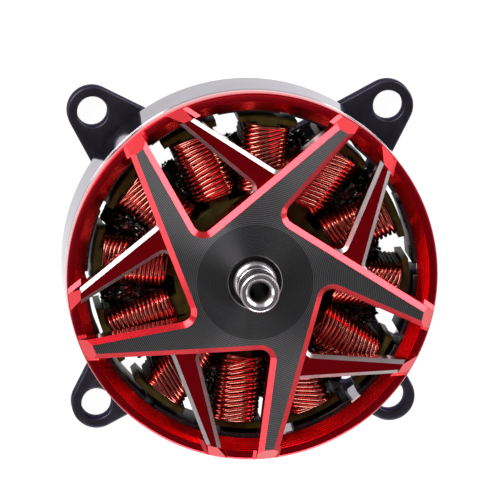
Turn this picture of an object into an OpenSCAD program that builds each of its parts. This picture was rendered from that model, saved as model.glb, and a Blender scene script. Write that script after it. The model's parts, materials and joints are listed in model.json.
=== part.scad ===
// Brushless outrunner motor, 12 coils and 14 magnets.
// The origin is the centre of the mounting face, and +Z runs along the shaft
// towards the output end. All lengths are in millimetres.

/* [Bell and rim] */
// Outer diameter of the bell and of the steel ring behind it
bell_d = 38.4; // [38:0.1:39]
// Height of the rim's front edge above the mounting face
rim_z = 15.75; // [15.6:0.05:16]
// Height of the flat disc round the hub above the mounting face
hub_z = 18.75; // [18.5:0.05:19.2]
// Height of the star's black face where it ends near the rim
arm_tip_z = 17.5; // [17.3:0.05:17.7]
// Radius of the rim's inner edge
rim_inner_r = 17.2; // [17:0.05:17.3]
// Radius of the flat disc round the hub
hub_disc_r = 6; // [5:0.1:6.5]

/* [Star] */
// Number of star arms, with one brace to each arm
arms = 5; // [5:1:5]
// Direction of the first arm's long edge, in degrees
long_edge_dir = 110.5; // [108:0.5:112]
// Distance from the axis to an arm's long edge
long_edge_off = 7.14; // [7:0.02:7.3]
// Direction of the first arm's short edge, in degrees
short_edge_dir = 118.5; // [117:0.5:120]
// Distance from the axis to an arm's short edge
short_edge_off = 2.65; // [2.5:0.05:2.8]
// Direction of the first brace's inner edge, in degrees
brace_in_dir = 139; // [138:0.5:140]
// Distance from the axis to a brace's inner edge
brace_in_off = 7.4; // [7.3:0.05:7.5]
// Direction of the first brace's outer edge, in degrees
brace_out_dir = 146.3; // [145:0.1:147]
// Distance from the axis to a brace's outer edge
brace_out_off = 10.73; // [10.6:0.01:10.8]

/* [Shaft] */
// Diameter of the output shaft
shaft_d = 4; // [3.9:0.01:4]
// Diameter of the seat that is pressed into the hub
seat_d = 4.5; // [4.4:0.01:4.6]
// Diameter of the hole along the hollow shaft
shaft_bore_d = 2.1; // [1.5:0.1:2.2]
// Height of the shaft's front end above the mounting face
shaft_tip_z = 25; // [24:0.5:30]

/* [Base] */
// Diameter of the circle through the four lug holes
bolt_circle_d = 44; // [43.5:0.1:45]
// Diameter of each lug hole, for an M3 screw
lug_hole_d = 3.2; // [3:0.1:3.4]
// Thickness of the base's arms and lugs
base_t = 2.2; // [2:0.1:2.4]
// Radius of each lug's round end
lug_end_r = 2.65; // [2.5:0.05:2.9]
// Angle between a lug's side and its centreline, in degrees
lug_taper = 17.5; // [15:0.5:19]

/* [Magnets and ring] */
// Number of magnets
magnets = 14; // [14:2:14]
// Wall thickness of the steel ring
ring_wall = 1.4; // [1.2:0.05:1.4]
// Height of the steel ring's rear edge
ring_z0 = 4.7; // [4.5:0.1:5]
// Height of the joint between the steel ring and the bell
ring_z1 = 13.35; // [13.2:0.05:13.5]
// Width of each magnet, in degrees round the axis
magnet_arc = 22; // [20:0.5:24]
// Direction of the first magnet's centre, in degrees
magnet_phase = 12.9; // [0:0.1:25.7]

/* [Stator] */
// Number of teeth and coils
teeth = 12; // [12:1:12]
// Direction of the first tooth, in degrees
tooth_phase = 23; // [0:1:29]
// Radius over the tooth heads
stator_r = 16.45; // [16.2:0.05:16.5]
// Height of the core's rear face
core_z0 = 5.2; // [5:0.1:5.4]
// Height of the core's front face
core_z1 = 13.2; // [13:0.05:13.2]
// Width of a tooth
tooth_w = 2.2; // [2:0.1:2.4]
// Angle between a tooth's centre and its head's end, in degrees
head_half_arc = 10.8; // [9:0.1:11.5]
// How far a coil stands out from the core at each end
coil_overhang = 1.2; // [1:0.1:1.2]

/* [Hidden] */
BEARING_PIECES = ["inner_ring", "outer_ring", "balls", "cage", "shields"];

$fn = 96;
overlap = 1;            // how far a cutting shape runs past what it cuts
sector = 360 / arms;
bell_r = bell_d / 2;
shaft_r = shaft_d / 2;
seat_r = seat_d / 2;

// Bell
spider_z0 = 15;         // underside of the arms
brace_z0 = 15.1;        // underside of the braces
pad_r = 17.9;           // radius where arm and brace tops meet their pads
brace_z_in = 17.2;      // height of a brace's top at the arm that it meets
brace_z_out = 17.4;     // height of a brace's top at its pad
pad_inset = 0.12;       // how far inside the rim's outer edge the pads end
pad_edge_z = rim_z + 0.1;
pad_half_arc = 4.6;     // half the width of an arm's pad with its side steps, in degrees
pad_step = 0.3;         // how far the side steps lie below the pad
pad_step_z0 = 14.7;
rim_lip_r = 18.3;       // inner edge of the rim's outer band
rim_band_drop = 0.2;    // how far that edge lies below the rim's front edge
rim_edge_z = 14.15;     // height of the rim's inner edge
pocket_fillet = 1.1;
brace_fillet = 0.75;    // inner corner between brace and arm
notch_fillet = 0.6;     // outer corner between brace and arm
boss_r = 4.2;           // hub boss behind the arms
boss_z0 = 14.2;
nose_r = 2.7;           // hub nose that rests on the front bearing
counterbore_r = 2.75;
counterbore_depth = 0.5;
seat_z0 = 14.3;         // rear end of the shaft's pressed seat
seat_z1 = hub_z + 0.6;  // the seat stands just proud of the hub
press_gap = 0.01;

// Ring, magnets and core
ring_r = bell_r - ring_wall;
magnet_z0 = 5.2;
magnet_z1 = 13.25;
air_gap = 0.4;          // between the tooth heads and the magnets
magnet_out_r = ring_r - 0.03;
core_bore_r = 6.4;
core_hub_r = 8;
head_r = 15.75;         // inner radius of a tooth head
coil_r0 = 8.5;
coil_r1 = 15.65;         // round outer face, just inside the tooth heads
coil_x1 = coil_r1 + 0.4; // where the coil's sides end, past that face
coil_w0 = 4.2;          // coil width at its inner end
coil_w1 = 5.3;          // coil width at its outer end
coil_round = 1.4;       // rounding of a coil's outer corners
coil_gap = 0.05;        // gap between coil and tooth

// Base
tube_r = 6.35;
tube_z1 = 13.8;
seat_bore_r = 4.52;     // bearing seats in the tube
mid_bore_r = 3.8;       // narrower bore between the bearing seats
arm_open_r0 = 11.3;     // ends of the opening in each arm
arm_open_r1 = 17.9;
arm_rib = 1.9;          // rib on each side of that opening
arm_root_r = 6;
base_hub_r = 9.4;       // solid disc where the arms meet
lug_dirs = [45 : 90 : 315];

// Bearings, size 4 x 9 x 4
bearing_od = 9;
bearing_w = 4;
bearing_in_r = 2.01;
ball_r = 0.794;
balls = 8;
pitch_r = 3.25;
race_r = 0.82;
inner_land_r = 2.75;
outer_land_r = 3.75;
shield_t = 0.15;
shield_seat_r = 3.92;
shield_in_r = 2.85;
front_bearing_z = 9.7;
rear_bearing_z = 1.6;

// Shaft's rear end
shaft_z0 = 0.3;
groove_z0 = 0.8;
groove_z1 = 1.3;
groove_r = 1.6;
tip_chamfer = 0.25;
washer_r = 2.7;
clip_r = 3.6;
clip_t = 0.4;

function dir2(a) = [cos(a), sin(a)];

// Point at radius r on the outward line with direction a that passes the axis
// at distance off, counted to the left of that direction.
function edge_point(a, off, r) = off * dir2(a + 90) + sqrt(r * r - off * off) * dir2(a);

// Crossing of two such lines.
function edge_cross(a, off_a, b, off_b) =
    let (t = (off_b - off_a * cos(a - b)) / sin(b - a))
    off_a * dir2(a + 90) - t * dir2(a);

function unit(v) = v / norm(v);
function turn(a, b, c) = (b - a).x * (c - b).y - (b - a).y * (c - b).x;

// Corner b of a polygon rounded to radius r by an arc of short chords.
function rounded_corner(a, b, c, r, steps = 8) =
    r == 0 ? [b] :
    let (
        u = unit(a - b),
        v = unit(c - b),
        half = acos(u * v) / 2,
        centre = b + unit(u + v) * r / sin(half),
        start = b + u * r / tan(half) - centre,
        sweep = (180 - 2 * half) * sign(turn(a, b, c))
    )
    [for (i = [0 : steps])
        let (t = sweep * i / steps)
        centre + [start.x * cos(t) - start.y * sin(t), start.x * sin(t) + start.y * cos(t)]];

module rounded_polygon(points, radii) {
    n = len(points);
    polygon([
        for (i = [0 : n - 1])
            each rounded_corner(points[(i + n - 1) % n], points[i], points[(i + 1) % n], radii[i])
    ]);
}

module tube_ring(r_in, r_out, z0, z1) {
    rotate_extrude()
        translate([r_in, z0])
            square([r_out - r_in, z1 - z0]);
}

// A sector of a flat ring, centred on the direction a.
module ring_sector(r_in, r_out, a, half_arc) {
    reach = r_out / cos(half_arc) + overlap;
    intersection() {
        difference() {
            circle(r_out);
            circle(r_in);
        }
        polygon([[0, 0], reach * dir2(a - half_arc), reach * dir2(a + half_arc)]);
    }
}

// One of the openings between two arms: their edges, with a round inner corner.
module pocket() {
    next_dir = long_edge_dir - sector;
    reach = 1.25 * bell_r;
    rounded_polygon(
        [
            edge_cross(short_edge_dir, short_edge_off, next_dir, long_edge_off),
            edge_point(next_dir, long_edge_off, reach),
            edge_point(short_edge_dir, short_edge_off, reach)
        ],
        [pocket_fillet, 0, 0]
    );
}

module arms_outline() {
    difference() {
        circle(bell_r - pad_inset);
        for (k = [0 : arms - 1])
            rotate(k * sector) pocket();
    }
}

// A brace from its pad at the rim to the next arm's long edge. It widens there
// with a round corner on each side, and runs a little way into the arm.
module brace_outline() {
    next_dir = long_edge_dir - sector;
    root_in = edge_cross(next_dir, long_edge_off, brace_in_dir, -brace_in_off);
    root_out = edge_cross(brace_out_dir, -brace_out_off, next_dir, long_edge_off);
    tip_in = edge_point(brace_in_dir, -brace_in_off, bell_r + overlap);
    tip_out = edge_point(brace_out_dir, -brace_out_off, bell_r + overlap);
    along = dir2(next_dir);
    into_arm = -overlap * dir2(next_dir + 90);
    corner_in = rounded_corner(root_in - 2 * along, root_in, tip_in, brace_fillet);
    corner_out = rounded_corner(tip_out, root_out, root_out + 2 * along, notch_fillet);
    polygon(concat(
        [corner_in[0] + into_arm], corner_in, [tip_in, tip_out], corner_out,
        [corner_out[len(corner_out) - 1] + into_arm]
    ));
}

// Solid of revolution under the black face and the arm pads.
module star_envelope() {
    rotate_extrude()
        polygon([
            [0, spider_z0], [bell_r - pad_inset, spider_z0], [bell_r - pad_inset, pad_edge_z],
            [pad_r, arm_tip_z], [hub_disc_r, hub_z], [0, hub_z]
        ]);
}

// Solid of revolution under the braces' tops.
module brace_envelope() {
    rotate_extrude()
        polygon([
            [0, brace_z0], [bell_r - pad_inset, brace_z0], [bell_r - pad_inset, pad_edge_z],
            [pad_r, brace_z_out], [hub_disc_r, brace_z_in], [0, brace_z_in]
        ]);
}

module rim() {
    rotate_extrude()
        polygon([
            [bell_r, ring_z1], [bell_r, rim_z], [rim_lip_r, rim_z - rim_band_drop],
            [rim_inner_r, rim_edge_z], [rim_inner_r, ring_z1]
        ]);
}

// The steps on both sides of the arms' pads, a little lower than the pads.
module pad_steps() {
    tip_dir = (long_edge_dir + asin(long_edge_off / bell_r)
        + short_edge_dir + asin(short_edge_off / bell_r)) / 2;
    intersection() {
        rotate_extrude()
            polygon([
                [pad_r, pad_step_z0], [bell_r - 2 * pad_inset, pad_step_z0],
                [bell_r - 2 * pad_inset, pad_edge_z], [pad_r, arm_tip_z - pad_step]
            ]);
        linear_extrude(hub_z)
            for (k = [0 : arms - 1])
                ring_sector(rim_inner_r, bell_r + overlap, tip_dir + k * sector, pad_half_arc);
    }
}

module hub_boss() {
    translate([0, 0, boss_z0])
        cylinder(h = spider_z0 + overlap - boss_z0, r = boss_r);
    translate([0, 0, front_bearing_z + bearing_w])
        cylinder(h = boss_z0 + overlap - front_bearing_z - bearing_w, r = nose_r);
}

module hub_bore() {
    translate([0, 0, seat_z0])
        cylinder(h = hub_z + overlap - seat_z0, r = seat_r + press_gap);
    cylinder(h = seat_z0 + press_gap, r = shaft_r + press_gap);
    translate([0, 0, hub_z - counterbore_depth])
        cylinder(h = counterbore_depth + overlap, r = counterbore_r);
}

module bell() {
    color("firebrick")
        difference() {
            union() {
                rim();
                pad_steps();
                hub_boss();
                intersection() {
                    star_envelope();
                    linear_extrude(hub_z + overlap) arms_outline();
                }
                intersection() {
                    brace_envelope();
                    linear_extrude(hub_z + overlap)
                        for (k = [0 : arms - 1])
                            rotate(k * sector) brace_outline();
                }
            }
            hub_bore();
        }
}

module flux_ring() {
    color("silver") tube_ring(ring_r, bell_r, ring_z0, ring_z1);
}

module magnet(i) {
    color("dimgray")
        translate([0, 0, magnet_z0])
            linear_extrude(magnet_z1 - magnet_z0)
                ring_sector(
                    stator_r + air_gap, magnet_out_r,
                    magnet_phase + (i - 1) * 360 / magnets, magnet_arc / 2
                );
}

module shaft() {
    color("gainsboro")
        rotate_extrude()
            polygon([
                [shaft_bore_d / 2, shaft_z0], [shaft_r - tip_chamfer, shaft_z0],
                [shaft_r, shaft_z0 + tip_chamfer], [shaft_r, groove_z0],
                [groove_r, groove_z0], [groove_r, groove_z1], [shaft_r, groove_z1],
                [shaft_r, seat_z0 + press_gap], [seat_r, seat_z0 + press_gap],
                [seat_r, seat_z1 - tip_chamfer], [seat_r - tip_chamfer, seat_z1], [shaft_r, seat_z1],
                [shaft_r, shaft_tip_z - tip_chamfer], [shaft_r - tip_chamfer, shaft_tip_z],
                [shaft_bore_d / 2, shaft_tip_z]
            ]);
}

module thrust_washer() {
    color("darkgray") tube_ring(shaft_r + 0.03, washer_r, groove_z1, rear_bearing_z);
}

// Open clip with two round pockets that let it spring into its groove.
module retaining_clip() {
    mouth = 2.4;
    pocket_r = 0.55;
    color("gray")
        translate([0, 0, (groove_z0 + groove_z1 - clip_t) / 2])
            linear_extrude(clip_t)
                difference() {
                    circle(clip_r);
                    circle(groove_r + press_gap);
                    translate([0, -mouth / 2]) square([clip_r + overlap, mouth]);
                    for (a = [110, 250])
                        translate(2.2 * dir2(a)) circle(pocket_r);
                }
}

module bearing_inner_ring(z) {
    color("lightgray")
        translate([0, 0, z])
            rotate_extrude()
                difference() {
                    translate([bearing_in_r, 0]) square([inner_land_r - bearing_in_r, bearing_w]);
                    translate([pitch_r, bearing_w / 2]) circle(race_r);
                }
}

module bearing_outer_ring(z) {
    shield_step = 2 * shield_t + 0.1;
    color("lightgray")
        translate([0, 0, z])
            rotate_extrude()
                difference() {
                    translate([outer_land_r, 0]) square([bearing_od / 2 - outer_land_r, bearing_w]);
                    translate([pitch_r, bearing_w / 2]) circle(race_r);
                    for (edge = [-overlap, bearing_w - shield_step])
                        translate([pitch_r, edge]) square([shield_seat_r - pitch_r, overlap + shield_step]);
                }
}

module ball_ring(r) {
    for (i = [0 : balls - 1])
        rotate(i * 360 / balls)
            translate([pitch_r, 0, bearing_w / 2])
                sphere(r, $fn = 48);
}

module bearing_balls(z) {
    color("white") translate([0, 0, z]) ball_ring(ball_r);
}

module bearing_cage(z) {
    color("goldenrod")
        translate([0, 0, z])
            difference() {
                tube_ring(pitch_r - 0.3, pitch_r + 0.3, bearing_w / 2 + 0.1, bearing_w / 2 + 1.2);
                ball_ring(ball_r + 0.04);
            }
}

module bearing_shields(z) {
    color("slategray")
        for (edge = [shield_t, bearing_w - 2 * shield_t])
            tube_ring(shield_in_r, shield_seat_r - 0.02, z + edge, z + edge + shield_t);
}

module stator_core() {
    color("darkolivegreen")
        translate([0, 0, core_z0])
            linear_extrude(core_z1 - core_z0)
                difference() {
                    union() {
                        circle(core_hub_r);
                        for (i = [1 : teeth])
                            rotate(tooth_phase + (i - 1) * 360 / teeth) {
                                translate([core_bore_r, -tooth_w / 2])
                                    square([head_r + 0.3 - core_bore_r, tooth_w]);
                                ring_sector(head_r, stator_r, 0, head_half_arc);
                            }
                    }
                    circle(core_bore_r);
                }
}

// Seen along the tooth: a rectangle with round corners.
module coil_section() {
    h = core_z1 - core_z0 + 2 * coil_overhang;
    dy = coil_w1 / 2 - coil_round;
    dz = h / 2 - coil_round;
    square([coil_w1, 2 * dz], center = true);
    square([2 * dy, h], center = true);
    for (y = [-dy, dy], z = [-dz, dz])
        translate([y, z]) circle(coil_round);
}

module coil(i) {
    z_mid = (core_z0 + core_z1) / 2;
    core_h = core_z1 - core_z0;
    hole_w = tooth_w + 2 * coil_gap;
    color("chocolate")
        rotate(tooth_phase + (i - 1) * 360 / teeth)
            difference() {
                intersection() {
                    translate([coil_r0, 0, z_mid])
                        rotate([90, 0, 90])
                            linear_extrude(coil_x1 - coil_r0) coil_section();
                    linear_extrude(2 * z_mid)
                        polygon([
                            [coil_r0, -coil_w0 / 2], [coil_x1, -coil_w1 / 2],
                            [coil_x1, coil_w1 / 2], [coil_r0, coil_w0 / 2]
                        ]);
                    cylinder(r = coil_r1, h = 2 * z_mid);
                }
                translate([coil_r0 - overlap, -hole_w / 2, core_z0 - coil_gap])
                    cube([coil_x1 - coil_r0 + overlap, hole_w, core_h + 2 * coil_gap]);
            }
}

// Half width of an arm at radius r, between its two tapering sides.
function arm_half_width(r) = lug_end_r / cos(lug_taper) + (bolt_circle_d / 2 - r) * tan(lug_taper);

module base_arm() {
    bolt_r = bolt_circle_d / 2;
    tangent = [bolt_r + lug_end_r * sin(lug_taper), lug_end_r * cos(lug_taper)];
    root = [arm_root_r, arm_half_width(arm_root_r)];
    translate([bolt_r, 0]) circle(lug_end_r);
    polygon([root, [root.x, -root.y], [tangent.x, -tangent.y], tangent]);
}

module arm_opening() {
    w0 = arm_half_width(arm_open_r0) - arm_rib;
    w1 = arm_half_width(arm_open_r1) - arm_rib;
    rounded_polygon(
        [[arm_open_r0, -w0], [arm_open_r1, -w1], [arm_open_r1, w1], [arm_open_r0, w0]],
        [1.6, 1, 1, 1.6]
    );
}

module base() {
    color([0.12, 0.12, 0.13])
        difference() {
            union() {
                linear_extrude(base_t)
                    difference() {
                        union() {
                            circle(base_hub_r);
                            for (a = lug_dirs) rotate(a) base_arm();
                        }
                        for (a = lug_dirs) rotate(a) arm_opening();
                        for (a = lug_dirs)
                            translate(bolt_circle_d / 2 * dir2(a)) circle(lug_hole_d / 2);
                    }
                cylinder(h = tube_z1, r = tube_r);
            }
            translate([0, 0, -overlap])
                cylinder(h = tube_z1 + 2 * overlap, r = mid_bore_r);
            translate([0, 0, -overlap])
                cylinder(h = rear_bearing_z + bearing_w + overlap, r = seat_bore_r);
            translate([0, 0, front_bearing_z])
                cylinder(h = tube_z1 - front_bearing_z + overlap, r = seat_bore_r);
        }
}

module bearing_piece(piece, z) {
    if (piece == "inner_ring") bearing_inner_ring(z);
    if (piece == "outer_ring") bearing_outer_ring(z);
    if (piece == "balls") bearing_balls(z);
    if (piece == "cage") bearing_cage(z);
    if (piece == "shields") bearing_shields(z);
}

bell();
flux_ring();
for (i = [1 : magnets])
    magnet(i);
shaft();
thrust_washer();
retaining_clip();
for (piece = BEARING_PIECES) {
    bearing_piece(piece, front_bearing_z);
    bearing_piece(piece, rear_bearing_z);
}
stator_core();
for (i = [1 : teeth])
    coil(i);
base();
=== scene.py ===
"""Brushless outrunner motor: the looks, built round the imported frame.

Lengths are in metres, in the frame of the CAD part: the origin is the centre of the
mounting face and +Z runs along the shaft. MM turns millimetres into metres.
"""

import json
import math
import random

import bmesh
import bpy
from mathutils import Matrix, Vector, noise
from mathutils.geometry import delaunay_2d_cdt


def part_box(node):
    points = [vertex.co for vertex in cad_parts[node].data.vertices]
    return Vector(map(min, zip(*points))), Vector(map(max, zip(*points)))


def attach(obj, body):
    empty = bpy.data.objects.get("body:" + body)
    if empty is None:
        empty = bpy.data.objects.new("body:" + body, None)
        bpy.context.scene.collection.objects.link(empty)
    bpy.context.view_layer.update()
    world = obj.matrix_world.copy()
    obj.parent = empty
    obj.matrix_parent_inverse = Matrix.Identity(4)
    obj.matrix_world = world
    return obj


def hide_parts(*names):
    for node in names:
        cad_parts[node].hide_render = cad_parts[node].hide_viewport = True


MM = 0.001
TAU = 2 * math.pi

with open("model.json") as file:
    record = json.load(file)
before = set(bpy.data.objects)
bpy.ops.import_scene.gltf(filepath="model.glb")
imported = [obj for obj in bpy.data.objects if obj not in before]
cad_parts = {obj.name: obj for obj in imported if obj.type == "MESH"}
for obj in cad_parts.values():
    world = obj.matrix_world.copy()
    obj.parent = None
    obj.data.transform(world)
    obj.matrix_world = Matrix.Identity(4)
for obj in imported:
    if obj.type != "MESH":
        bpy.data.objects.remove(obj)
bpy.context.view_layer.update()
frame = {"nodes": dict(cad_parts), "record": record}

# ---------------------------------------------------------------- sizes from the frame

BELL_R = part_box("bell")[1].x
HUB_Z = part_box("bell")[1].z
RING_Z0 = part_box("flux_ring")[0].z
RING_Z1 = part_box("flux_ring")[1].z
CORE_Z0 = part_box("stator_core")[0].z
CORE_Z1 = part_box("stator_core")[1].z
SHAFT_Z0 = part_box("shaft")[0].z
SHAFT_Z1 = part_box("shaft")[1].z
BASE_T = 2.2 * MM

# ---------------------------------------------------------------- the bell's own sizes

ARMS = 5
SECTOR = 360 / ARMS
LONG_DIR, LONG_OFF = 110.5, 7.14 * MM
SHORT_DIR, SHORT_OFF = 118.5, 2.65 * MM
BRACE_IN_DIR, BRACE_IN_OFF = 139.0, -7.4 * MM
BRACE_OUT_DIR, BRACE_OUT_OFF = 146.3, -10.73 * MM
POCKET_FILLET = 1.1 * MM
BRACE_FILLET = 0.75 * MM
NOTCH_FILLET = 0.6 * MM
HUB_DISC_R = 6 * MM
BOSS_R = 4.2 * MM
COUNTERBORE_R = 2.75 * MM
COUNTERBORE_CHAMFER = 0.08 * MM
HUB_STEPS = 120            # sides of a circle about the hub
PAD_STEPS = 6              # steps along the arc at the end of an arm or a brace
PAD_R = 17.9 * MM
PAD_END_R = BELL_R - 0.12 * MM
RIM_Z = HUB_Z - 3 * MM
ARM_TIP_Z = HUB_Z - 1.25 * MM
PAD_END_Z = RIM_Z + 0.1 * MM
PAD_FOOT_Z = RIM_Z - 1.5 * MM
ARM_Z0 = HUB_Z - 3.75 * MM
BRACE_Z_IN = HUB_Z - 1.55 * MM
BRACE_Z_OUT = HUB_Z - 1.35 * MM
BEVEL = 0.58 * MM
BEVEL_DROP = 0.52 * MM
BRACE_BEVEL = 0.4 * MM
BRACE_BEVEL_DROP = 0.4 * MM

# ---------------------------------------------------------------- camera

CAMERA_DISTANCE = 594.9 * MM
CAMERA_LEAN = 10.83        # degrees between the shaft and the line of sight
CAMERA_LEAN_DIR = -64.6    # direction in the picture towards which the shaft leans
CAMERA_ROLL = 0.95
CAMERA_SHIFT = Vector((0.8, -3.34, 0)) * MM
CAMERA_LENS = 424.4
SENSOR = 36


def make_camera():
    """The photograph's view: nearly along the shaft, from far away with a long lens."""
    lean = Matrix.Rotation(math.radians(CAMERA_LEAN_DIR), 3, "Z")
    turn = lean @ Matrix.Rotation(math.radians(CAMERA_LEAN), 3, "Y") @ lean.transposed()
    world_to_camera = turn @ Matrix.Rotation(math.radians(CAMERA_ROLL), 3, "Z")
    camera_to_world = world_to_camera.transposed()
    data = bpy.data.cameras.new("camera")
    data.lens = CAMERA_LENS
    data.sensor_width = SENSOR
    data.clip_start = 0.01
    data.clip_end = 20
    camera = bpy.data.objects.new("camera", data)
    bpy.context.scene.collection.objects.link(camera)
    eye = camera_to_world @ (Vector((0, 0, CAMERA_DISTANCE)) - CAMERA_SHIFT)
    eye += Vector((0, 0, RIM_Z))
    camera.matrix_world = Matrix.Translation(eye) @ camera_to_world.to_4x4()
    bpy.context.scene.camera = camera


make_camera()

# ---------------------------------------------------------------- node materials


class Nodes:
    """Builds one node material on a Principled shader, with self.mm as its coordinates:
    the object's own, in millimetres."""

    def __init__(self, name):
        self.material = bpy.data.materials.new(name)
        self.material.use_nodes = True
        self.tree = self.material.node_tree
        self.tree.nodes.clear()
        self.shader = self.add("ShaderNodeBsdfPrincipled")
        out = self.add("ShaderNodeOutputMaterial")
        self.link(self.shader, "BSDF", out, "Surface")
        place = self.add("ShaderNodeTexCoord")
        self.mm = self.add("ShaderNodeMapping")
        self.mm.inputs["Scale"].default_value = (1 / MM, 1 / MM, 1 / MM)
        self.link(place, "Object", self.mm, "Vector")

    def add(self, kind, **settings):
        node = self.tree.nodes.new(kind)
        for key, value in settings.items():
            setattr(node, key, value)
        return node

    def link(self, a, out_name, b, in_name):
        """Links two nodes, by the names or numbers of their enabled sockets."""
        source = [o for o in a.outputs if o.enabled and o.name == out_name][0]
        if isinstance(in_name, int):
            target = b.inputs[in_name]
        else:
            target = [i for i in b.inputs if i.enabled and i.name == in_name][0]
        self.tree.links.new(source, target)

    def set(self, node=None, **values):
        """Sets input values, on the shader unless a node is given."""
        node = node or self.shader
        for key, value in values.items():
            node.inputs[key.replace("_", " ")].default_value = value

    def noise(self, scale, detail=3):
        """Cloudy noise. A larger scale is finer."""
        node = self.add("ShaderNodeTexNoise")
        node.inputs["Scale"].default_value = scale
        node.inputs["Detail"].default_value = detail
        self.link(self.mm, "Vector", node, "Vector")
        return node

    def wave(self, pitch_mm, wobble, **kind):
        node = self.add("ShaderNodeTexWave", **kind)
        node.inputs["Scale"].default_value = TAU / 20 / pitch_mm
        node.inputs["Distortion"].default_value = wobble
        self.link(self.mm, "Vector", node, "Vector")
        return node

    def rings(self, pitch_mm, wobble=0.0):
        """Fine turned rings about the shaft, pitch_mm apart."""
        node = self.wave(pitch_mm, wobble, wave_type="RINGS", rings_direction="Z")
        node.inputs["Detail"].default_value = 1
        return node

    def lines(self, pitch_mm, wobble):
        """Fine lines round a wall, pitch_mm apart along the shaft."""
        return self.wave(pitch_mm, wobble, wave_type="BANDS", bands_direction="Z")

    def ramp(self, source, stops):
        """Colours by the value of source, from (value, colour) stops."""
        node = self.add("ShaderNodeValToRGB")
        elements = node.color_ramp.elements
        while len(elements) < len(stops):
            elements.new(0.5)
        for element, (place, colour) in zip(elements, stops):
            element.position = place
            element.color = (*colour, 1)
        self.link(source, "Fac", node, "Fac")
        return node

    def tint(self, scale, dark, light, detail=3):
        """A base colour that drifts between two tones."""
        tones = self.ramp(self.noise(scale, detail), [(0.3, dark), (0.7, light)])
        self.link(tones, "Color", self.shader, "Base Color")

    def rough(self, source, low, high, out="Fac"):
        """Roughness from low to high, as source runs from 0 to 1."""
        node = self.add("ShaderNodeMapRange")
        self.set(node, To_Min=low, To_Max=high)
        self.link(source, out, node, "Value")
        self.link(node, "Result", self.shader, "Roughness")

    def bump(self, source, strength, depth_mm, after=None):
        """Bumps of that depth, laid over those of the node after."""
        node = self.add("ShaderNodeBump")
        self.set(node, Strength=strength, Distance=depth_mm * MM)
        self.link(source, "Fac", node, "Height")
        if after:
            self.link(after, "Normal", node, "Normal")
        self.link(node, "Normal", self.shader, "Normal")
        return node


def turned_black(name, pitch_mm, dark, light, depth_mm):
    """Black anodised face with turning marks, which spread a light into a fan."""
    m = Nodes(name)
    marks = m.rings(pitch_mm, wobble=0.15)
    marks.wave_profile = "SAW"
    tint = m.ramp(marks, [(0.1, (dark, dark, dark * 1.05)), (0.9, (light, light * 0.985, light))])
    m.link(tint, "Color", m.shader, "Base Color")
    m.set(Metallic=1.0, Roughness=0.5, Anisotropic=0.95, Anisotropic_Rotation=0.25)
    tangent = m.add("ShaderNodeTangent", direction_type="RADIAL", axis="Z")
    m.link(tangent, "Tangent", m.shader, "Tangent")
    coarse = m.bump(marks, 1.0, depth_mm)
    m.bump(m.noise(3, 2), 0.1, 0.01, after=coarse)
    return m.material


def red_anodised():
    """Clear red over turned metal, glossy, with a pale skin where a light strikes it."""
    m = Nodes("red_anodised")
    m.tint(0.35, (0.68, 0.003, 0.013), (0.75, 0.005, 0.019))
    m.set(Metallic=1.0, Coat_Roughness=0.14)
    slope = m.add("ShaderNodeLayerWeight")
    skin = m.add("ShaderNodeMapRange")
    m.set(skin, From_Min=0.04, From_Max=0.15, To_Min=0.05, To_Max=0.85)
    m.link(slope, "Facing", skin, "Value")
    m.link(skin, "Result", m.shader, "Coat Weight")
    m.rough(m.noise(0.8), 0.2, 0.24)
    coarse = m.bump(m.rings(0.3), 0.06, 0.01)
    m.bump(m.noise(2, 2), 0.03, 0.01, after=coarse)
    return m.material


def bare_aluminium():
    """Freshly milled chamfers, cut after the anodising."""
    m = Nodes("bare_aluminium")
    m.tint(1, (0.34, 0.32, 0.32), (0.41, 0.38, 0.38))
    m.set(Metallic=1.0)
    m.rough(m.noise(2), 0.3, 0.38)
    m.bump(m.noise(4, 2), 0.06, 0.01)
    return m.material


def plated_steel():
    """Bright nickel plating over a turned wall."""
    m = Nodes("plated_steel")
    m.tint(0.2, (0.27, 0.265, 0.28), (0.34, 0.335, 0.35))
    m.set(Metallic=1.0, Specular_Tint=(0.8, 0.78, 0.83, 1))
    m.rough(m.noise(0.5), 0.06, 0.1)
    m.bump(m.lines(0.3, 0.3), 0.04, 0.006)
    return m.material


def magnet_plating():
    """Dark, slightly pitted nickel."""
    m = Nodes("magnet_plating")
    m.tint(1.2, (0.06, 0.045, 0.047), (0.10, 0.075, 0.078))
    m.set(Metallic=0.9, Specular_Tint=(0.18, 0.15, 0.16, 1))
    m.rough(m.noise(5), 0.2, 0.38)
    m.bump(m.noise(12, 3), 0.2, 0.02)
    return m.material


def ground_steel():
    """Ground and handled steel of the shaft."""
    m = Nodes("ground_steel")
    m.tint(1.5, (0.56, 0.52, 0.54), (0.70, 0.66, 0.68))
    m.set(Metallic=1.0)
    m.rough(m.noise(1.2), 0.2, 0.3)
    m.bump(m.noise(1.5, 2), 0.05, 0.01)
    return m.material


def bearing_steel():
    """Polished rings and balls."""
    m = Nodes("bearing_steel")
    m.tint(2, (0.68, 0.68, 0.70), (0.76, 0.76, 0.78))
    m.set(Metallic=1.0)
    m.rough(m.noise(5), 0.06, 0.14)
    m.bump(m.rings(0.15), 0.05, 0.004)
    return m.material


def cage_brass():
    """Pressed brass of the ball cages."""
    m = Nodes("cage_brass")
    m.tint(3, (0.55, 0.38, 0.13), (0.66, 0.48, 0.2))
    m.set(Metallic=1.0)
    m.rough(m.noise(6), 0.25, 0.4)
    return m.material


def spring_steel():
    """Dark oiled steel of the clip, the washer and the shields."""
    m = Nodes("spring_steel")
    m.tint(2, (0.2, 0.2, 0.22), (0.32, 0.32, 0.34))
    m.set(Metallic=1.0)
    m.rough(m.noise(5), 0.2, 0.38)
    m.bump(m.noise(16, 3), 0.15, 0.01)
    return m.material


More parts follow.
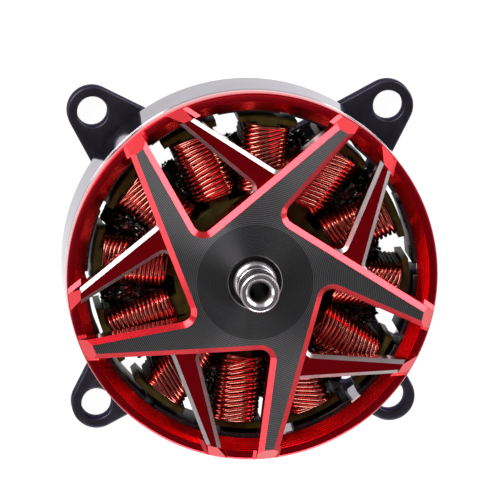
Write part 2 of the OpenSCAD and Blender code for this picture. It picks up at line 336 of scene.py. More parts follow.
def coated_core():
    """Dark olive epoxy over the laminations: glossy and a little uneven."""
    m = Nodes("coated_core")
    m.tint(0.9, (0.060, 0.050, 0.012), (0.11, 0.095, 0.026), detail=4)
    m.set(Metallic=0.0, IOR=1.04, Coat_Weight=0.2, Coat_Roughness=0.2, Coat_IOR=1.2)
    m.rough(m.noise(1), 0.35, 0.5)
    m.bump(m.noise(2, 3), 0.2, 0.03)
    return m.material


def copper_wire():
    """Enamelled copper, bright on top, with painted shade lower down: there the wire is near black,
    dull and unglossed.
    """
    m = Nodes("copper_wire")
    tint = m.ramp(
        m.noise(1.6, 3),
        [(0.25, (0.36, 0.050, 0.030)), (0.55, (0.54, 0.110, 0.066)), (0.8, (0.68, 0.18, 0.11))],
    )
    # The height in mm plus twice a patchy noise: below 13.6 the wire carries the painted shade,
    # above 14.4 it is clear of it.
    split = m.add("ShaderNodeSeparateXYZ")
    m.link(m.mm, "Vector", split, "Vector")
    patches = m.add("ShaderNodeMath", operation="MULTIPLY_ADD")
    patches.inputs[1].default_value = 2.0
    m.link(m.noise(0.7, 3), "Fac", patches, 0)
    m.link(split, "Z", patches, 2)
    # clear: 0 where the painted shade is full, 1 where the wire is free of it.
    clear = m.add("ShaderNodeMapRange")
    m.set(clear, From_Min=13.6, From_Max=14.4)
    m.link(patches, "Value", clear, "Value")
    mix = m.add("ShaderNodeMix", data_type="RGBA")
    m.link(clear, "Result", mix, "Factor")
    # The painted shade's near-black colour.
    dark = [i for i in mix.inputs if i.enabled and i.name == "A"][0]
    dark.default_value = (0.03, 0.006, 0.004, 1)
    m.link(tint, "Color", mix, "B")
    m.link(mix, "Result", m.shader, "Base Color")
    m.link(clear, "Result", m.shader, "Metallic")
    m.link(clear, "Result", m.shader, "Coat Weight")
    m.set(IOR=1.07, Coat_Roughness=0.11, Coat_IOR=1.7, Specular_Tint=(0.5, 0.12, 0.08, 1))
    m.rough(clear, 0.5, 0.2, out="Result")
    m.bump(m.noise(0.8, 2), 0.02, 0.02)
    return m.material


def varnish():
    """Black, wet-looking winding varnish: its black is painted shade for the deep slots, its gloss
    the varnish's own.
    """
    m = Nodes("winding_varnish_and_shade")
    m.tint(1.5, (0.003, 0.002, 0.002), (0.012, 0.006, 0.005))
    m.set(Metallic=0.0, IOR=1.45, Coat_Weight=1.0, Coat_Roughness=0.04)
    m.rough(m.noise(4), 0.08, 0.2)
    m.bump(m.noise(2.5, 3), 0.3, 0.1)
    return m.material


def black_anodised():
    """Satin black anodised aluminium, with a cold sheen."""
    m = Nodes("black_anodised")
    m.tint(0.7, (0.046, 0.042, 0.058), (0.068, 0.060, 0.080))
    m.set(Metallic=1.0, Specular_Tint=(0.3, 0.3, 0.36, 1))
    m.rough(m.noise(1), 0.38, 0.48)
    m.bump(m.noise(6, 2), 0.1, 0.01)
    return m.material


def painted_shade_bore():
    """The drilled hole along the shaft: dull and brown, darker than the shaft's steel as painted
    shade inside the bore.
    """
    m = Nodes("painted_shade_bore")
    m.tint(2, (0.10, 0.070, 0.065), (0.18, 0.13, 0.12))
    m.set(Metallic=0.4)
    m.rough(m.noise(3), 0.45, 0.6)
    m.bump(m.lines(0.2, 0.5), 0.2, 0.01)
    return m.material


def studio_floor():
    """White and glowing a little. From below it is clear, so that the base can be seen."""
    m = Nodes("studio_floor")
    tint = m.ramp(m.noise(0.01, 2), [(0.3, (0.97, 0.97, 0.97)), (0.7, (0.98, 0.98, 0.98))])
    m.link(tint, "Color", m.shader, "Emission Color")
    distance = m.add("ShaderNodeVectorMath", operation="LENGTH")
    m.link(m.mm, "Vector", distance, 0)
    pool = m.add("ShaderNodeMapRange", interpolation_type="SMOOTHSTEP")
    m.set(pool, From_Min=90, From_Max=300, To_Min=1.0, To_Max=0.4)
    m.link(distance, "Value", pool, "Value")
    m.link(pool, "Result", m.shader, "Emission Strength")
    m.set(Base_Color=(0.12, 0.12, 0.12, 1), Roughness=0.9)
    side = m.add("ShaderNodeNewGeometry")
    upper = m.add("ShaderNodeMath", operation="SUBTRACT")
    upper.inputs[0].default_value = 1.0
    m.link(side, "Backfacing", upper, 1)
    m.link(upper, "Value", m.shader, "Alpha")
    return m.material


BLACK_FACE = turned_black("black_turned_arms", 0.19, 0.035, 0.27, 0.05)
BLACK_DISC = turned_black("black_turned_disc", 0.14, 0.05, 0.12, 0.04)
RED = red_anodised()
BARE = bare_aluminium()
NODE_LOOKS = {
    "plated_steel": plated_steel(),
    "magnet": magnet_plating(),
    "ground_steel": ground_steel(),
    "bearing_steel": bearing_steel(),
    "cage_brass": cage_brass(),
    "spring_steel": spring_steel(),
    "coated_core": coated_core(),
    "copper_wire": copper_wire(),
    "black_anodised": black_anodised(),
    "red_anodised": RED,
}
VARNISH_AND_SHADE = varnish()
BORE = painted_shade_bore()

# ---------------------------------------------------------------- plane geometry


def dir2(degrees):
    """Unit vector in that direction in the plane."""
    angle = math.radians(degrees)
    return Vector((math.cos(angle), math.sin(angle)))


def edge_point(direction, offset, radius):
    """Point at that radius on the outward line that passes the axis at that offset."""
    run = math.sqrt(radius * radius - offset * offset)
    return dir2(direction + 90) * offset + dir2(direction) * run


def edge_cross(dir_a, off_a, dir_b, off_b):
    """Where two such lines cross."""
    between = math.radians(dir_b - dir_a)
    run = (off_b - off_a * math.cos(between)) / math.sin(between)
    return dir2(dir_a + 90) * off_a - dir2(dir_a) * run


def rounded_corner(a, b, c, radius, steps=10):
    """Corner b of a polygon, rounded by an arc of short chords."""
    u = (a - b).normalized()
    v = (c - b).normalized()
    half = math.acos(max(-1, min(1, u.dot(v)))) / 2
    centre = b + (u + v).normalized() * (radius / math.sin(half))
    start = b + u * (radius / math.tan(half)) - centre
    cross = (b - a).x * (c - b).y - (b - a).y * (c - b).x
    sweep = math.copysign(math.pi - 2 * half, cross)
    points = []
    for i in range(steps + 1):
        t = sweep * i / steps
        points.append(centre + Matrix.Rotation(t, 2) @ start)
    return points


def spaced(a, b, count):
    """Points from a up to but not including b."""
    return [a.lerp(b, i / count) for i in range(count)]


def on_circle(radius, start, end, count):
    """Points on a circle about the shaft, from one direction to another."""
    return [dir2(start + (end - start) * i / count) * radius for i in range(count + 1)]


def full_circle(radius, count):
    """Points all the way round the shaft, anticlockwise."""
    return [dir2(360 * i / count) * radius for i in range(count)]


def angle_of(p):
    """Direction of a plane point from the shaft, in degrees."""
    return math.degrees(math.atan2(p.y, p.x))


def arc_between(a, b, count):
    """Points on a's circle about the shaft, from a the short way round to b's direction."""
    start = angle_of(a)
    turn = (angle_of(b) - start + 180) % 360 - 180
    return on_circle(a.length, start, start + turn, count)


def rotated(points, degrees):
    """The plane points turned about the shaft."""
    turn = Matrix.Rotation(math.radians(degrees), 2)
    return [turn @ p for p in points]


def lift(points, height):
    """Plane points raised to the height that the function height gives at their radius."""
    return [Vector((p.x, p.y, height(p.length))) for p in points]


def at_height(points, z):
    """The points, plane or not, moved to height z."""
    return [Vector((p.x, p.y, z)) for p in points]


def below(points, tops, drop):
    """The plane points, each by drop lower than its fellow in tops."""
    return [Vector((p.x, p.y, q.z - drop)) for p, q in zip(points, tops)]


def above(base, pairs):
    """(radius, height) pairs in millimetres, as an outline in metres with heights above base."""
    return [(r * MM, base + z * MM) for r, z in pairs]


def piecewise(stops):
    """A height that runs straight between (radius, height) stops."""
    def height(radius):
        for (r0, z0), (r1, z1) in zip(stops, stops[1:]):
            if radius <= r1:
                return z0 + (z1 - z0) * max(0, radius - r0) / (r1 - r0)
        return stops[-1][1]
    return height


# ---------------------------------------------------------------- mesh helpers


class Builder:
    """Collects faces by material for one object."""

    def __init__(self):
        self.verts = []
        self.faces = []
        self.slots = []
        self.lookup = {}

    def vert(self, p):
        """Number of the vertex at p. Points within about 50 nanometres are one."""
        key = tuple(round(c * 2e7) for c in p)
        if key not in self.lookup:
            self.lookup[key] = len(self.verts)
            self.verts.append(tuple(p))
        return self.lookup[key]

    def face(self, points, slot=0):
        """One polygon, left out if its points run together."""
        ids = []
        for p in points:
            i = self.vert(p)
            if i not in ids:
                ids.append(i)
        if len(ids) > 2:
            self.faces.append(ids)
            self.slots.append(slot)

    def strip(self, low, high, slot=0, closed=False):
        """Quads between two rows of equally many points."""
        n = len(low)
        for i in range(n if closed else n - 1):
            j = (i + 1) % n
            self.face([low[i], low[j], high[j], high[i]], slot)

    def fill(self, outline, height, slot=0, rings=(), holes=(), flip=False):
        """Triangulates a plane outline, with rings of inner points, and lifts it."""
        loops = [outline, *holes]
        points, edges = [], []
        for loop in [*loops, *rings]:
            first = len(points)
            points += loop
            edges += [(first + i, first + (i + 1) % len(loop)) for i in range(len(loop))]
        verts, _, faces, _, _, _ = delaunay_2d_cdt(points, edges, [], 0, 1e-9)
        lifted = lift(verts, height)
        for face in faces:
            centre = sum((verts[i] for i in face), Vector((0, 0))) / len(face)
            if inside(centre, outline) and not any(inside(centre, h) for h in holes):
                order = reversed(face) if flip else face
                self.face([lifted[i] for i in order], slot(centre.length) if callable(slot) else slot)

    def object(self, name, materials, sharp=30):
        """The Blender object, shaded smooth up to the sharp angle in degrees."""
        mesh = bpy.data.meshes.new(name)
        mesh.from_pydata(self.verts, [], self.faces)
        for material in materials:
            mesh.materials.append(material)
        mesh.polygons.foreach_set("material_index", self.slots)
        return finish_mesh(name, mesh, sharp)


def inside(p, loop):
    """Whether the plane point p is inside the loop."""
    hit = False
    n = len(loop)
    for i in range(n):
        a, b = loop[i], loop[(i + 1) % n]
        if (a.y > p.y) != (b.y > p.y) and p.x < (b.x - a.x) * (p.y - a.y) / (b.y - a.y) + a.x:
            hit = not hit
    return hit


def finish_mesh(name, mesh, sharp):
    """Turns the faces outwards, shades them smooth up to the sharp angle, and makes the object."""
    bm = bmesh.new()
    bm.from_mesh(mesh)
    bmesh.ops.recalc_face_normals(bm, faces=bm.faces)
    bm.to_mesh(mesh)
    bm.free()
    mesh.shade_smooth()
    mesh.set_sharp_from_angle(angle=math.radians(sharp))
    obj = bpy.data.objects.new(name, mesh)
    bpy.context.scene.collection.objects.link(obj)
    return obj


def inset_loop(loop, distance):
    """The loop moved to its left by distance, corner by corner."""
    moved = []
    n = len(loop)
    for i, p in enumerate(loop):
        a, b = (p - loop[i - 1]).normalized(), (loop[(i + 1) % n] - p).normalized()
        left = Vector((-(a.y + b.y), a.x + b.x)).normalized()
        moved.append(p + left * (distance / max(0.5, left.dot(Vector((-b.y, b.x))))))
    return moved


def slab(builder, outline, holes, z0, z1, edge, steps=3):
    """A plate with rounded edges. The outline runs anticlockwise, the holes clockwise."""
    levels = []
    for i in range(steps + 1):
        turn = 90 * i / steps
        levels.append((edge * (1 - dir2(turn).y), z0 + edge * (1 - dir2(turn).x)))
    levels += [(inset, z0 + z1 - z) for inset, z in reversed(levels)]
    for loop in [outline, *holes]:
        rows = [at_height(inset_loop(loop, inset), z) for inset, z in levels]
        for low, high in zip(rows, rows[1:]):
            builder.strip(low, high, closed=True)
    inner = [inset_loop(loop, edge) for loop in [outline, *holes]]
    builder.fill(inner[0], lambda r: z1, holes=inner[1:])
    builder.fill(inner[0], lambda r: z0, holes=inner[1:], flip=True)


def revolve(builder, outline, slots=0, segments=240):
    """Turns a closed (radius, height) outline about the shaft's axis."""
    rows = [at_height(full_circle(r, segments), z) for r, z in outline]
    for i, row in enumerate(rows):
        slot = slots[i] if isinstance(slots, list) else slots
        builder.strip(row, rows[(i + 1) % len(rows)], slot, closed=True)


def ride_as(obj, body, node):
    """Puts a piece on its body in place of the CAD node it shows."""
    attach(obj, body)
    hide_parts(node)


# ---------------------------------------------------------------- bell

BLACK_SLOT, RED_SLOT, BARE_SLOT, DISC_SLOT = range(4)
BELL_MATERIALS = [BLACK_FACE, RED, BARE, BLACK_DISC]


def sloping(z_in, z_out):
    """The height of a top that is flat over the hub, then slopes to its pad and the rim."""
    return piecewise([(HUB_DISC_R, z_in), (PAD_R, z_out), (PAD_END_R, PAD_END_Z)])


star_height = sloping(HUB_Z, ARM_TIP_Z)
brace_height = sloping(BRACE_Z_IN, BRACE_Z_OUT)


def pocket_edge(inset, tip_r, count=14):
    """From the tip of an arm along its short edge, round the corner and out along the
    next arm's long edge. inset moves the edge into the arms."""
    next_dir = LONG_DIR - SECTOR
    corner = edge_cross(SHORT_DIR, SHORT_OFF + inset, next_dir, LONG_OFF - inset)
    start = edge_point(SHORT_DIR, SHORT_OFF + inset, tip_r)
    end = edge_point(next_dir, LONG_OFF - inset, tip_r)
    arc = rounded_corner(start, corner, end, POCKET_FILLET + inset)
    return spaced(start, arc[0], count) + arc[:-1] + spaced(arc[-1], end, count) + [end]


def face_slot(radius):
    """The material of the face: the disc over the hub is turned finer than the arms."""
    return DISC_SLOT if radius < HUB_DISC_R else BLACK_SLOT


def star(builder):
    """The five arms and the hub as one closed shell: black face, red bevels and walls."""
    hip_r = PAD_R + BEVEL_DROP * (PAD_END_R - PAD_R) / (ARM_TIP_Z - PAD_END_Z)
    # The first pocket's start on its short edge: on the face, at the bevel's foot, at the rim.
    starts = [
        pocket_edge(BEVEL, PAD_R)[0],
        edge_point(SHORT_DIR, SHORT_OFF, hip_r),
        edge_point(SHORT_DIR, SHORT_OFF, PAD_END_R),
    ]
    face_loop, foot_loop = [], []
    for k in range(ARMS):
        turn = -k * SECTOR
        face = rotated(pocket_edge(BEVEL, PAD_R), turn)
        foot = rotated(pocket_edge(0, hip_r), turn)
        face3 = lift(face, star_height)
        foot3 = below(foot, face3, BEVEL_DROP)
        end_low = rotated([edge_point(LONG_DIR - SECTOR, LONG_OFF, PAD_END_R)], turn)
        start_low = rotated(starts[2:], turn)
        builder.strip(foot3, face3, RED_SLOT)
        wall = [*lift(start_low, star_height), *foot3, *lift(end_low, star_height)]
        builder.strip(at_height(wall, ARM_Z0), wall, RED_SLOT)
        face_loop += face
        foot_loop += start_low + foot + end_low
        # The next arm's pad, from this pocket's end to the next pocket's start.
        next_face, next_foot, next_low = rotated(starts, turn - SECTOR)
        tip = arc_between(face[-1], next_face, PAD_STEPS)
        hip = arc_between(foot[-1], next_foot, PAD_STEPS)
        low = arc_between(end_low[0], next_low, PAD_STEPS)
        builder.strip(lift(hip, star_height), lift(tip, star_height), RED_SLOT)
        builder.strip(lift(low, star_height), lift(hip, star_height), RED_SLOT)
        builder.strip(at_height(low, ARM_Z0), lift(low, star_height), RED_SLOT)
        face_loop += tip[1:-1]
        foot_loop += low[1:-1]
    # Rings of inner points keep the disc round and the slope even.
    rings = [full_circle(r, HUB_STEPS) for r in (BOSS_R, 5.1 * MM, HUB_DISC_R, 6.55 * MM)]
    bore = full_circle(COUNTERBORE_R + COUNTERBORE_CHAMFER, HUB_STEPS)
    builder.fill(face_loop, star_height, face_slot, rings=rings, holes=[bore])
    boss = full_circle(BOSS_R, HUB_STEPS)
    builder.fill(foot_loop, lambda r: ARM_Z0, RED_SLOT, holes=[boss], flip=True)


def hub(builder):
    """Counterbore, hub bore and the boss behind the arms."""
    seat_r, hole_r, nose_r = 2.27 * MM, 2.01 * MM, 2.7 * MM
    floor_z, seat_z = HUB_Z - 0.7 * MM, 14.3 * MM
    boss_z, nose_z = 14.2 * MM, 13.7 * MM
    outline = [
        (COUNTERBORE_R + COUNTERBORE_CHAMFER, HUB_Z), (COUNTERBORE_R, HUB_Z - COUNTERBORE_CHAMFER),
        (COUNTERBORE_R, floor_z), (seat_r, floor_z), (seat_r, seat_z), (hole_r, seat_z),
        (hole_r, nose_z), (nose_r, nose_z), (nose_r, boss_z), (BOSS_R, boss_z), (BOSS_R, ARM_Z0),
    ]
    slots = [BARE_SLOT] + [DISC_SLOT] * 4 + [RED_SLOT] * 5
    rows = [at_height(full_circle(r, HUB_STEPS), z) for r, z in outline]
    for low, high, slot in zip(rows, rows[1:], slots):
        builder.strip(low, high, slot, closed=True)


def brace_edges(inset):
    """The two long edges of the first brace, each from inside the next arm to the pad."""
    next_dir = LONG_DIR - SECTOR
    root_in = edge_cross(next_dir, LONG_OFF, BRACE_IN_DIR, BRACE_IN_OFF)
    root_out = edge_cross(BRACE_OUT_DIR, BRACE_OUT_OFF, next_dir, LONG_OFF)
    tip_in = edge_point(BRACE_IN_DIR, BRACE_IN_OFF, PAD_R)
    tip_out = edge_point(BRACE_OUT_DIR, BRACE_OUT_OFF, PAD_R)
    along = dir2(next_dir) * 3 * MM
    arcs = [
        rounded_corner(root_in - along, root_in, tip_in, BRACE_FILLET),
        rounded_corner(root_out + along, root_out, tip_out, NOTCH_FILLET),
    ]
    if inset:
        arcs = [moved_in(arc, inset) for arc in arcs]
        tip_in = edge_point(BRACE_IN_DIR, BRACE_IN_OFF - inset, PAD_R)
        tip_out = edge_point(BRACE_OUT_DIR, BRACE_OUT_OFF + inset, PAD_R)
    return [arc[:-1] + spaced(arc[-1], tip, 12) + [tip] for arc, tip in zip(arcs, (tip_in, tip_out))]


def moved_in(arc, inset):
    """The arc moved away from its centre by inset."""
    a, m, b = arc[0], arc[len(arc) // 2], arc[-1]
    centre = circle_centre(a, m, b)
    return [p + (p - centre).normalized() * inset for p in arc]


def circle_centre(a, b, c):
    """Centre of the circle through three points."""
    ab, ac = b - a, c - a
    d = 2 * (ab.x * ac.y - ab.y * ac.x)
    ux = (ac.y * ab.length_squared - ab.y * ac.length_squared) / d
    uy = (ab.x * ac.length_squared - ac.x * ab.length_squared) / d
    return a + Vector((ux, uy))


def brace(builder, k):
    """One brace: red top, bare chamfers and red walls."""
    feet = [rotated(side, -k * SECTOR) for side in brace_edges(0)]
    tops = [lift(rotated(side, -k * SECTOR), brace_height) for side in brace_edges(BRACE_BEVEL)]
    lows = [below(foot, top, BRACE_BEVEL_DROP) for foot, top in zip(feet, tops)]
    floors = [at_height(foot, ARM_Z0 + 0.1 * MM) for foot in feet]
    for low, top in zip(lows, tops):
        builder.strip(low, top, BARE_SLOT)
    builder.strip(*tops, RED_SLOT)
    for floor, low in zip(floors, lows):
        builder.strip(floor, low, RED_SLOT)
    builder.strip(*floors, RED_SLOT)
    around = (floors[0], floors[1], lows[1], tops[1], tops[0], lows[0])
    for end in (0, -1):
        builder.face([row[end] for row in around], RED_SLOT)


def brace_pad(builder, k):
    """The pad between a brace and the rim's edge. It is a little wider at the edge."""
    turn = -k * SECTOR
    near = [
        edge_point(BRACE_IN_DIR + turn, BRACE_IN_OFF - BRACE_BEVEL, PAD_R),
        edge_point(BRACE_OUT_DIR + turn, BRACE_OUT_OFF + 0.1 * MM, PAD_R),
    ]
    far = [
        edge_point(BRACE_IN_DIR + turn, BRACE_IN_OFF + 0.3 * MM, PAD_END_R),
        edge_point(BRACE_OUT_DIR + turn, BRACE_OUT_OFF - 0.15 * MM, PAD_END_R),
    ]
    rows = [at_height(arc_between(*near, PAD_STEPS), BRACE_Z_OUT)]
    rows.append(at_height(arc_between(*far, PAD_STEPS), PAD_END_Z))
    builder.strip(*rows, RED_SLOT)
    ring = rows[0] + rows[1][::-1]
    builder.strip(at_height(ring, PAD_FOOT_Z), ring, RED_SLOT, closed=True)


def side_step(builder, direction, offset, width, start_r, start_z):
    """A narrow sloping step beside a pad, along the edge of its arm or brace. A negative
    width puts it on the right of that edge."""
    inner = [edge_point(direction, offset, r) for r in (start_r, PAD_END_R)]
    outer = [edge_point(direction, offset + width, r) for r in (start_r, PAD_END_R)]
    top = [Vector((*p, z)) for p, z in zip(inner, (start_z, PAD_END_Z + 0.2 * MM))]
    low = [Vector((*p, z)) for p, z in zip(outer, (start_z - 0.9 * abs(width), RIM_Z - 0.05 * MM))]
    ring = [top[0], top[1], low[1], low[0]]
    builder.face(ring, RED_SLOT)
    builder.strip(at_height(ring, PAD_FOOT_Z), ring, RED_SLOT, closed=True)


def pads(builder):
    """The braces' pads, and the steps on both sides of every pad."""
    # Direction and offset of the edge, then width, start radius and start height in mm.
    steps = (
        (LONG_DIR, LONG_OFF, 0.4, 17.95, 16.15),
        (SHORT_DIR, SHORT_OFF - 0.05 * MM, -0.32, 18.15, 16.15),
        (BRACE_IN_DIR, BRACE_IN_OFF + 0.28 * MM, 0.22, 18.3, 16.1),
        (BRACE_OUT_DIR, BRACE_OUT_OFF - 0.1 * MM, -0.42, 17.75, 16.2),
    )
    for k in range(ARMS):
        brace_pad(builder, k)
        for direction, offset, width, start_r, start_z in steps:
            side_step(builder, direction - k * SECTOR, offset, width * MM, start_r * MM, start_z * MM)


def rim(builder):
    """The rim: outer wall, a flat band, a cone with fine turned ridges, and the inner wall."""
    inner_r, lip_r = 17.2 * MM, 18.3 * MM
    lip_z, inner_z = RIM_Z - 0.2 * MM, RIM_Z - 1.6 * MM
    ridge_pitch, ridge_h = 0.26 * MM, 0.011 * MM
    outline = [
        (BELL_R - 0.12 * MM, RING_Z1), (BELL_R, RING_Z1 + 0.12 * MM),
        (BELL_R, RIM_Z - 0.2 * MM), (BELL_R - 0.06 * MM, RIM_Z - 0.06 * MM),
        (BELL_R - 0.2 * MM, RIM_Z), (lip_r + 0.06 * MM, lip_z),
    ]
    cone = Vector((inner_r - lip_r, inner_z - lip_z))
    out = Vector((cone.y, -cone.x)).normalized()
    if out.y < 0:
        out.negate()
    samples = 48
    for i in range(samples + 1):
        t = i / samples
        ridge = 0.5 - 0.5 * math.cos(TAU * t * cone.length / ridge_pitch)
        place = Vector((lip_r, lip_z)) + cone * t + out * (ridge_h * ridge)
        outline.append(tuple(place))
    outline += [(inner_r, inner_z - 0.06 * MM), (inner_r, RING_Z1)]
    revolve(builder, outline, RED_SLOT)


def make_bell():
    """The bell from its parts, as one object."""
    builder = Builder()
    star(builder)
    hub(builder)
    for k in range(ARMS):
        brace(builder, k)
    pads(builder)
    rim(builder)
    bell = builder.object("bell_turned", BELL_MATERIALS, sharp=25)
    ride_as(bell, "rotor", "bell")


make_bell()

# ---------------------------------------------------------------- coils

TEETH = 12
TOOTH_PHASE = 23
TOOTH_W = 2.2 * MM
WIRE_R = 0.195 * MM
LAYERS = 4
COIL_R0, COIL_R1 = 8.55 * MM, 15.6 * MM


def tooth_dir(i):
    """Direction of tooth number i, counted from nought."""
    return TOOTH_PHASE + i * 360 / TEETH


def tube(path, radius, sides=10):
    """A wire along a path of points, as rows of vertices joined by quads."""
    verts, faces = [], []
    n = len(path)
    normal = None
    for i, p in enumerate(path):
        ahead = (path[min(i + 1, n - 1)] - path[max(i - 1, 0)]).normalized()
        if normal is None:
            normal = ahead.orthogonal().normalized()
        normal = (normal - ahead * normal.dot(ahead)).normalized()
        side = ahead.cross(normal)
        for j in range(sides):
            a = TAU * j / sides
            verts.append(p + (normal * math.cos(a) + side * math.sin(a)) * radius)
    for i in range(n - 1):
        for j in range(sides):
            a, b = i * sides + j, i * sides + (j + 1) % sides
            faces.append((a, b, b + sides, a + sides))
    faces.append(tuple(reversed(range(sides))))
    faces.append(tuple(range((n - 1) * sides, n * sides)))
    return verts, faces


def turn_outline(half_w, half_h, round_r, crown):
    """One turn seen along the tooth: a rounded rectangle with crowned ends."""
    points = []
    for cy, cz, start in ((1, 1, 0), (-1, 1, 90), (-1, -1, 180), (1, -1, 270)):
        for i in range(7):
            d = dir2(start + 15 * i)
            y = cy * (half_w - round_r) + round_r * d.x
            z = cz * (half_h - round_r) + round_r * d.y
            points.append((y, z))
        if start in (0, 180):
            sign = 1 if start == 0 else -1
            points += [(sign * t * (half_w - round_r), sign * half_h) for t in (0.5, 0, -0.5)]
    crowned = []
    for y, z in points:
        rise = crown * math.cos(min(1, abs(y) / half_w) * math.pi / 2)
        crowned.append((y, z + math.copysign(rise, z)))
    return crowned


def coil_path(rng):
    """The whole winding of one coil: four layers, out and back, the last one loose."""
    pitch = 2.1 * WIRE_R
    z_mid = (CORE_Z0 + CORE_Z1) / 2
    core_h = (CORE_Z1 - CORE_Z0) / 2
    path = []
    for layer in range(LAYERS):
        r0 = COIL_R0 + WIRE_R + layer * 0.16 * MM
        r1 = COIL_R1 - WIRE_R - layer * 0.08 * MM
        stations = [r0]
        loose = 1.0 if layer < LAYERS - 1 else 1.25
        while stations[-1] < r1:
            stations.append(stations[-1] + pitch * rng.uniform(1.0, 1.06) * rng.choice((1, loose)))
        if layer % 2:
            stations.reverse()
        slant = rng.uniform(-0.5, 0.5) * (1 + 0.4 * layer) * MM
        twist, phase = rng.uniform(0.05, 0.3) * MM, rng.uniform(0, TAU)
        bow = rng.uniform(-0.1, 0.3) * MM
        for t, station in enumerate(stations):
            reach = (station - COIL_R0) / (COIL_R1 - COIL_R0)
            # The tooth, its liner and the layers below set the size of this turn.
            half_w = TOOTH_W / 2 + 0.08 * MM + WIRE_R * (1 + 1.6 * layer) * (0.84 + 0.18 * reach)
            half_h = core_h + 0.04 * MM + WIRE_R * (1 + 0.75 * layer)
            half_w += rng.uniform(-0.03, 0.03) * MM
            half_h += rng.uniform(-0.012, 0.012) * MM
            crown = (0.16 + 0.06 * layer) * MM + rng.uniform(-0.015, 0.015) * MM
            outline = turn_outline(half_w, half_h, (0.3 + 0.32 * layer) * MM, crown)
            next_station = stations[min(t + 1, len(stations) - 1)]
            tilt = slant + twist * math.sin(phase + 4 * reach) + rng.uniform(-0.03, 0.03) * MM
            n = len(outline)
            for i, (y, z) in enumerate(outline):
                across = y / half_w
                x = station + (next_station - station) * i / n
                x += (tilt * across + bow * (1 - across * across)) * (0.4 + 0.2 * layer)
                x = min(max(x, COIL_R0 + WIRE_R), COIL_R1 - WIRE_R)
                path.append(Vector((x, y, z_mid + z)))
    return smooth_path(path)


def smooth_path(path):
    """The path with each inner point drawn towards its two neighbours."""
    out = [path[0]]
    for a, b, c in zip(path, path[1:], path[2:]):
        out.append(b * 0.6 + (a + c) * 0.2)
    out.append(path[-1])
    return out


def make_coils():
    """One winding on each tooth, each with its own random course."""
    for i in range(TEETH):
        rng = random.Random(100 + i)
        verts, faces = tube(coil_path(rng), WIRE_R)
        turn = Matrix.Rotation(math.radians(tooth_dir(i)), 3, "Z")
        mesh = bpy.data.meshes.new(f"winding_{i + 1}")
        mesh.from_pydata([turn @ v for v in verts], [], faces)
        mesh.materials.append(NODE_LOOKS["copper_wire"])
        coil = finish_mesh(f"winding_{i + 1}", mesh, sharp=60)
        ride_as(coil, "stator", f"coil_{i + 1}")


make_coils()

# ---------------------------------------------------------------- turned pieces


def make_flux_ring():
    """The plated ring round the magnets, with broken edges and a fine turned line."""
    inner_r, line_r, edge = BELL_R - 1.4 * MM, BELL_R - 0.05 * MM, 0.14 * MM
    z0, z1 = RING_Z0, RING_Z1
    outline = [
        (inner_r, z0 + edge), (inner_r + edge, z0), (BELL_R - edge, z0), (BELL_R, z0 + edge),
        (BELL_R, z1 - 0.62 * MM), (line_r, z1 - 0.58 * MM), (line_r, z1 - 0.5 * MM),
        (BELL_R, z1 - 0.46 * MM), (BELL_R, z1 - edge), (BELL_R - edge, z1), (inner_r, z1),
    ]
    builder = Builder()
    revolve(builder, outline)
    ring = builder.object("ring_turned", [NODE_LOOKS["plated_steel"]], sharp=20)
    ride_as(ring, "rotor", "flux_ring")


def make_shaft():
    """The hollow shaft: clip groove, seat in the hub, relief grooves and a chamfered tip."""
    rear = [(1.05, 0.1), (1.15, 0), (1.75, 0), (2, 0.25)]
    clip_groove = [(2, 0.8), (1.6, 0.8), (1.6, 1.3), (2, 1.3)]
    seat = [(2, 14.3), (2.25, 14.3)]
    collar = [(2.25, 0.4), (2.15, 0.55), (2.04, 0.6), (1.92, 0.7), (1.92, 1.0), (2, 1.08)]
    front = [
        (2, -3.5), (1.9, -3.42), (1.9, -3.2), (2, -3.12),
        (2, -0.16), (1.94, -0.06), (1.84, 0), (1.54, 0), (1.5, -0.07), (1.46, -0.04),
        (1.3, -0.16), (1.14, -0.32), (1.05, -0.44),
    ]
    outline = above(SHAFT_Z0, rear) + above(0, clip_groove + seat)
    outline += above(HUB_Z, collar) + above(SHAFT_Z1, front)
    builder = Builder()
    revolve(builder, outline, [0] * (len(outline) - 1) + [1], segments=96)
    shaft = builder.object("shaft_turned", [NODE_LOOKS["ground_steel"], BORE], sharp=20)
    ride_as(shaft, "rotor", "shaft")


make_flux_ring()
make_shaft()

# ---------------------------------------------------------------- base, core and magnets

LUG_DIRS = (45, 135, 225, 315)
STATOR_R = 16.45 * MM
MAGNETS = 14
MAGNET_PHASE = 12.9
MAGNET_R0 = STATOR_R + 0.42 * MM
MAGNET_R1 = 17.76 * MM
MAGNET_HALF_ARC = 10.9
BOLT_R = 22 * MM
LUG_END_R = 2.65 * MM
LUG_TAPER = math.radians(17.5)
LUG_HOLE_R = 1.6 * MM
TUBE_R = 6.35 * MM
TUBE_TOP = 13.8 * MM
BEARING_SEAT_R = 4.52 * MM


def arm_half_width(radius):
    """Half the width of a base arm at that distance from the shaft."""
    run = BOLT_R + LUG_END_R * math.sin(LUG_TAPER) - radius
    return LUG_END_R * math.cos(LUG_TAPER) + run * math.tan(LUG_TAPER)


def circle_loop(centre, radius, count=48):
    """A clockwise ring of points, for a hole."""
    return [centre + dir2(-360 * i / count) * radius for i in range(count)]


def base_outline():
    """All four arms and their round lugs, anticlockwise."""
    meet = arm_half_width(0) / (1 + math.tan(LUG_TAPER))
    points = []
    taper = math.degrees(LUG_TAPER)
    for a in LUG_DIRS:
        sweep = [taper - 90 + (180 - 2 * taper) * i / 24 for i in range(25)]
        lug = [Vector((BOLT_R, 0)) + dir2(t) * LUG_END_R for t in sweep]
        lug[0].y = -arm_half_width(lug[0].x)
        points += rotated([Vector((meet, -meet)), *lug], a)
    return points


